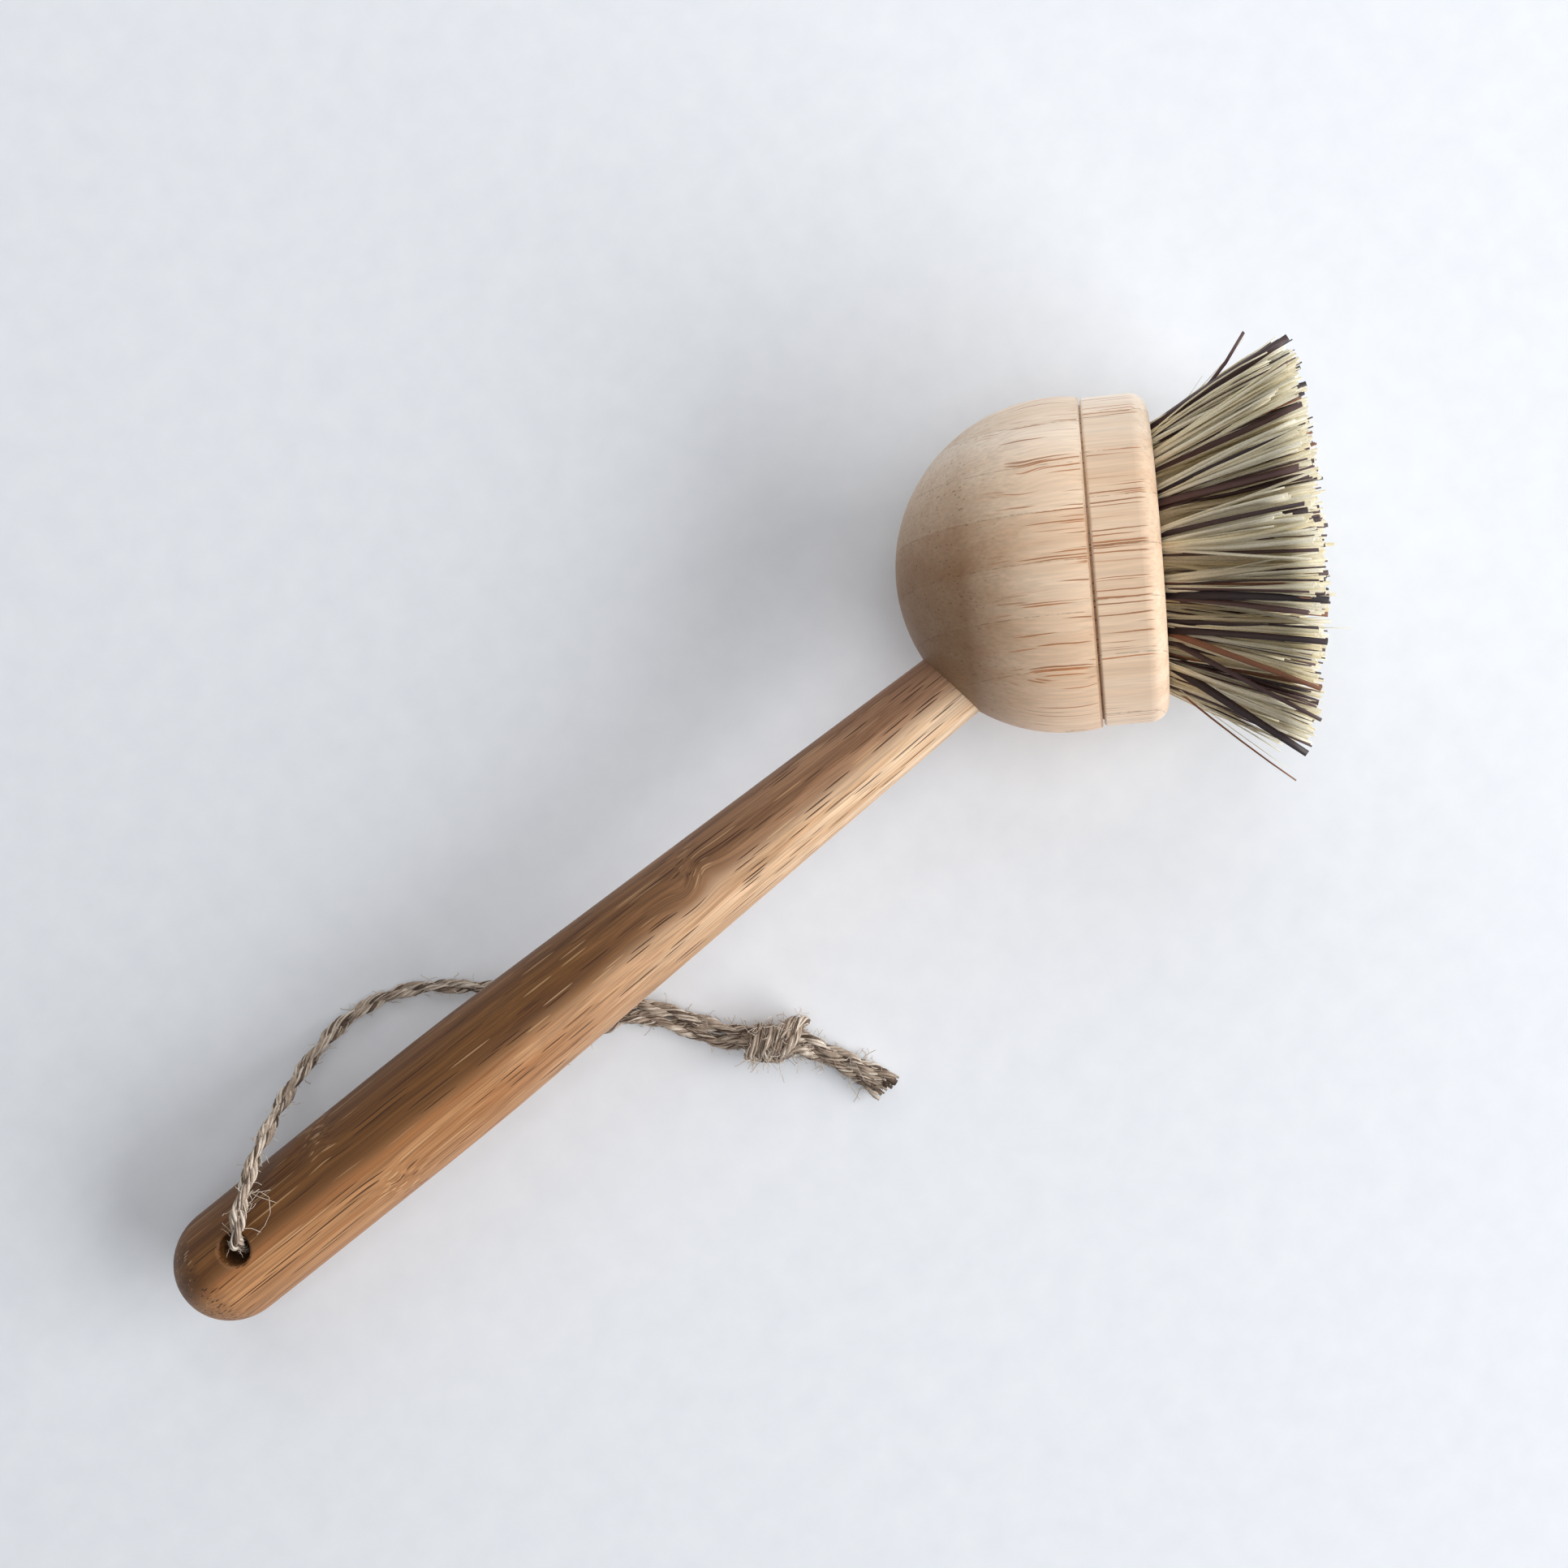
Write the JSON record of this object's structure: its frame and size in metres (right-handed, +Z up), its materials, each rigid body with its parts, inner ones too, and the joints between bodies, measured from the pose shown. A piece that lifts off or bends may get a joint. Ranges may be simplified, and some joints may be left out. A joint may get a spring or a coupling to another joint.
{
  "type": "dish brush",
  "caption": "Round dish brush with a bent bamboo handle, ball-shaped dome, screw-off bristle head of fanned plant fibre and a knotted twine hanging loop.",
  "frame": {"origin": "on the table the brush lies on, under the middle of its box without the cord", "axes": "+Z up from the table, +X level along the handle from the butt towards the head, +Y to the handle's left"},
  "size_m": [0.2392, 0.0787, 0.0658],
  "materials": {
    "carbonised_bamboo": "sanded and oiled, satin",
    "natural_bamboo": "sanded, bare, matt",
    "plant_fibre": "stiff dry fibre, cut ends",
    "steel_wire": "drawn wire",
    "jute_twine": "twisted, hairy"
  },
  "bodies": {
    "handle_and_dome": {"handle": "carbonised_bamboo", "dome": "natural_bamboo", "cord_knot": "jute_twine", "cord_long_strand": "jute_twine", "cord_short_strand": "jute_twine", "cord_tail_lower": "jute_twine", "cord_tail_upper": "jute_twine"},
    "head_carriage": {"tuft_centre": "plant_fibre"},
    "brush_head": {"brush_plate": "natural_bamboo", "screw_spigot": "natural_bamboo", "tuft_inner_01": "plant_fibre", "tuft_inner_02": "plant_fibre", "tuft_inner_03": "plant_fibre", "tuft_inner_04": "plant_fibre", "tuft_inner_05": "plant_fibre", "tuft_inner_06": "plant_fibre", "tuft_middle_01": "plant_fibre", "tuft_middle_02": "plant_fibre", "tuft_middle_03": "plant_fibre", "tuft_middle_04": "plant_fibre", "tuft_middle_05": "plant_fibre", "tuft_middle_06": "plant_fibre", "tuft_middle_07": "plant_fibre", "tuft_middle_08": "plant_fibre", "tuft_middle_09": "plant_fibre", "tuft_middle_10": "plant_fibre", "tuft_middle_11": "plant_fibre", "tuft_middle_12": "plant_fibre", "tuft_outer_01": "plant_fibre", "tuft_outer_02": "plant_fibre", "tuft_outer_03": "plant_fibre", "tuft_outer_04": "plant_fibre", "tuft_outer_05": "plant_fibre", "tuft_outer_06": "plant_fibre", "tuft_outer_07": "plant_fibre", "tuft_outer_08": "plant_fibre", "tuft_outer_09": "plant_fibre", "tuft_outer_10": "plant_fibre", "tuft_outer_11": "plant_fibre", "tuft_outer_12": "plant_fibre", "tuft_outer_13": "plant_fibre", "tuft_outer_14": "plant_fibre", "tuft_outer_15": "plant_fibre", "tuft_outer_16": "plant_fibre", "tuft_outer_17": "plant_fibre", "tuft_outer_18": "plant_fibre", "tuft_staples": "steel_wire"}
  },
  "joints": [
    {"name": "head_travel", "type": "slide", "parent": "handle_and_dome", "child": "head_carriage", "axis": [0.8144, -0.5556, 0.1679], "range_m": [0, 0.012]},
    {"name": "head_turn", "type": "hinge", "parent": "head_carriage", "child": "brush_head", "pos_m": [0.07149, 0.01016, 0.027], "axis": [0.8144, -0.5556, 0.1679], "range_deg": [0, 1080]}
  ],
  "couplings": [
    {"joint": "head_travel", "follows": "head_turn", "m_per_rad": 0.00063662}
  ]
}
